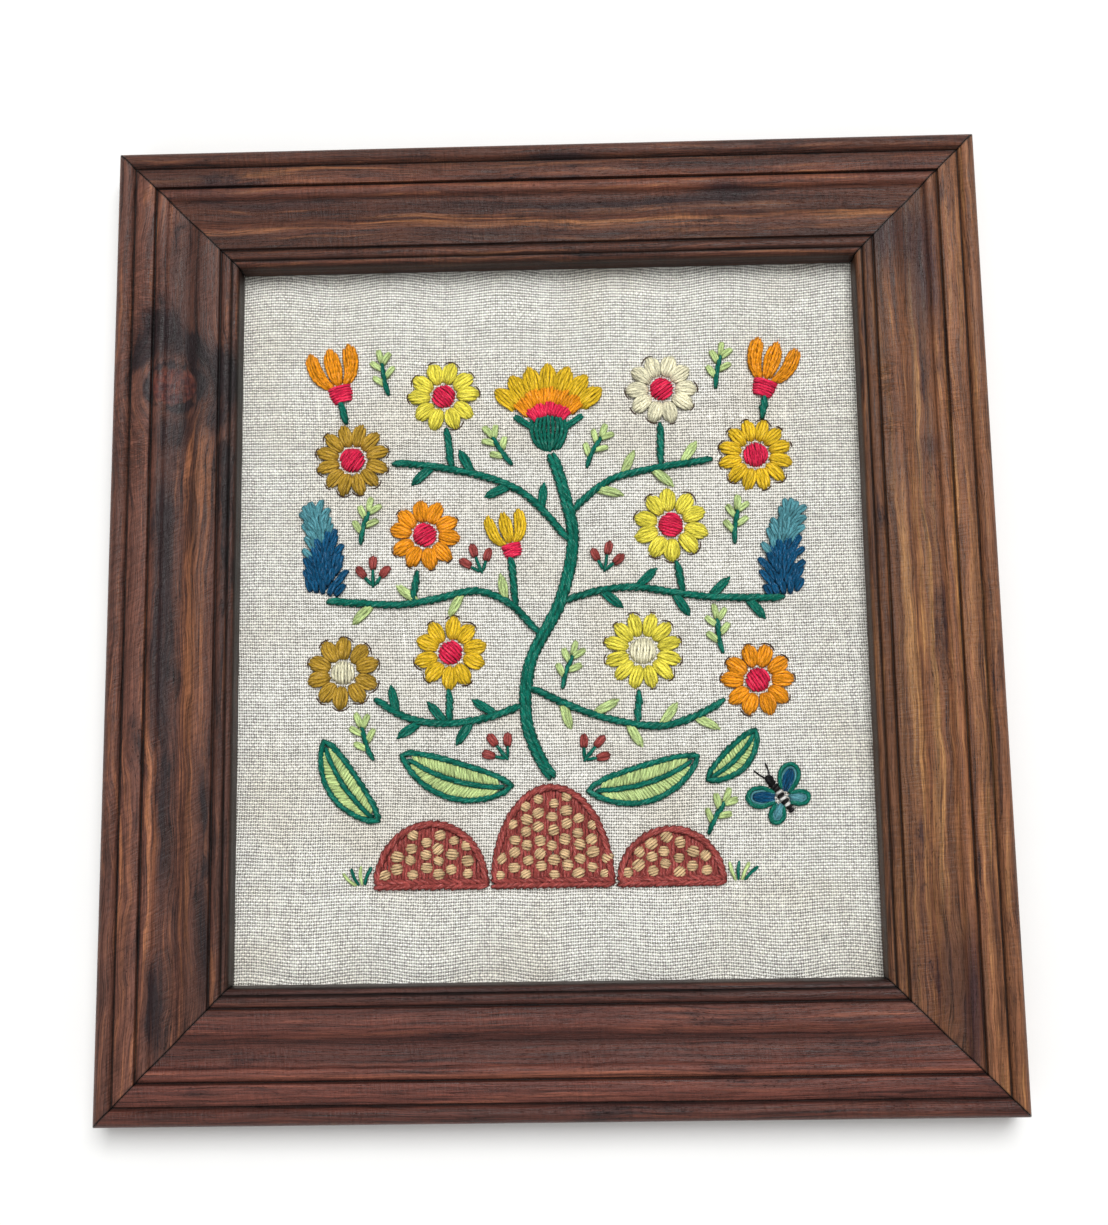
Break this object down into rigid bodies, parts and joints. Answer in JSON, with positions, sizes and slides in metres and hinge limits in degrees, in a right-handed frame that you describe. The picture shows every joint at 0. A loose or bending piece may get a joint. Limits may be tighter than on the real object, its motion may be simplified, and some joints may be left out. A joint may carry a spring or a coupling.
{
  "type": "framed crewel embroidery panel",
  "caption": "Flat wool embroidery of a flowering tree on natural linen, stretched in a mitred, moulded wooden picture frame.",
  "frame": {"origin": "on the surface that the frame's back lies on, under the middle of the frame", "axes": "+X to the picture's right, +Y to the picture's top, +Z out of the picture's face"},
  "size_m": [0.312, 0.344, 0.019],
  "materials": {
    "rail_bottom": "pine, stained walnut brown, satin",
    "rail_left": "pine, stained walnut brown, satin",
    "rail_right": "pine, stained walnut brown, satin",
    "rail_top": "pine, stained walnut brown, satin",
    "linen_ground": "plain woven natural linen, matte",
    "blossom_bronze_left": "crewel wool, hand stitched, matte",
    "blossom_cream_top": "crewel wool, hand stitched, matte",
    "blossom_golden_low": "crewel wool, hand stitched, matte",
    "blossom_lemon_right": "crewel wool, hand stitched, matte",
    "blossom_lemon_top": "crewel wool, hand stitched, matte",
    "blossom_orange_left": "crewel wool, hand stitched, matte",
    "blossom_orange_low": "crewel wool, hand stitched, matte",
    "butterfly": "crewel wool, hand stitched, matte",
    "carnation_top": "crewel wool, hand stitched, matte",
    "leaf_far_left": "crewel wool, hand stitched, matte",
    "leaf_far_right": "crewel wool, hand stitched, matte",
    "leaf_low_left": "crewel wool, hand stitched, matte",
    "leaf_low_right": "crewel wool, hand stitched, matte",
    "mound_centre": "crewel wool, hand stitched, matte",
    "mound_left": "crewel wool, hand stitched, matte",
    "mound_right": "crewel wool, hand stitched, matte",
    "roundel_bronze_left": "crewel wool, hand stitched, matte",
    "roundel_golden_right": "crewel wool, hand stitched, matte",
    "roundel_lemon_low": "crewel wool, hand stitched, matte",
    "spike_blue_left": "crewel wool, hand stitched, matte",
    "spike_blue_right": "crewel wool, hand stitched, matte",
    "stem_high_left": "crewel wool, hand stitched, matte",
    "stem_high_right": "crewel wool, hand stitched, matte",
    "stem_low_left": "crewel wool, hand stitched, matte",
    "stem_low_right": "crewel wool, hand stitched, matte",
    "stem_mid_left": "crewel wool, hand stitched, matte",
    "stem_mid_right": "crewel wool, hand stitched, matte",
    "trunk": "crewel wool, hand stitched, matte",
    "tulip_golden_mid": "crewel wool, hand stitched, matte",
    "tulip_orange_left": "crewel wool, hand stitched, matte",
    "tulip_orange_right": "crewel wool, hand stitched, matte",
    "twig_cream_top": "crewel wool, hand stitched, matte",
    "twig_golden_low": "crewel wool, hand stitched, matte",
    "twig_lemon_low": "crewel wool, hand stitched, matte",
    "twig_lemon_right": "crewel wool, hand stitched, matte",
    "twig_lemon_top": "crewel wool, hand stitched, matte",
    "twig_orange_left": "crewel wool, hand stitched, matte",
    "twig_tulip_left": "crewel wool, hand stitched, matte",
    "twig_tulip_mid": "crewel wool, hand stitched, matte",
    "twig_tulip_right": "crewel wool, hand stitched, matte"
  },
  "bodies": {
    "root": {"rail_bottom": "rail_bottom", "rail_left": "rail_left", "rail_right": "rail_right", "rail_top": "rail_top", "linen_ground": "linen_ground", "blossom_bronze_left": "blossom_bronze_left", "blossom_cream_top": "blossom_cream_top", "blossom_golden_low": "blossom_golden_low", "blossom_lemon_right": "blossom_lemon_right", "blossom_lemon_top": "blossom_lemon_top", "blossom_orange_left": "blossom_orange_left", "blossom_orange_low": "blossom_orange_low", "butterfly": "butterfly", "carnation_top": "carnation_top", "leaf_far_left": "leaf_far_left", "leaf_far_right": "leaf_far_right", "leaf_low_left": "leaf_low_left", "leaf_low_right": "leaf_low_right", "mound_centre": "mound_centre", "mound_left": "mound_left", "mound_right": "mound_right", "roundel_bronze_left": "roundel_bronze_left", "roundel_golden_right": "roundel_golden_right", "roundel_lemon_low": "roundel_lemon_low", "spike_blue_left": "spike_blue_left", "spike_blue_right": "spike_blue_right", "stem_high_left": "stem_high_left", "stem_high_right": "stem_high_right", "stem_low_left": "stem_low_left", "stem_low_right": "stem_low_right", "stem_mid_left": "stem_mid_left", "stem_mid_right": "stem_mid_right", "trunk": "trunk", "tulip_golden_mid": "tulip_golden_mid", "tulip_orange_left": "tulip_orange_left", "tulip_orange_right": "tulip_orange_right", "twig_cream_top": "twig_cream_top", "twig_golden_low": "twig_golden_low", "twig_lemon_low": "twig_lemon_low", "twig_lemon_right": "twig_lemon_right", "twig_lemon_top": "twig_lemon_top", "twig_orange_left": "twig_orange_left", "twig_tulip_left": "twig_tulip_left", "twig_tulip_mid": "twig_tulip_mid", "twig_tulip_right": "twig_tulip_right"}
  },
  "joints": []
}
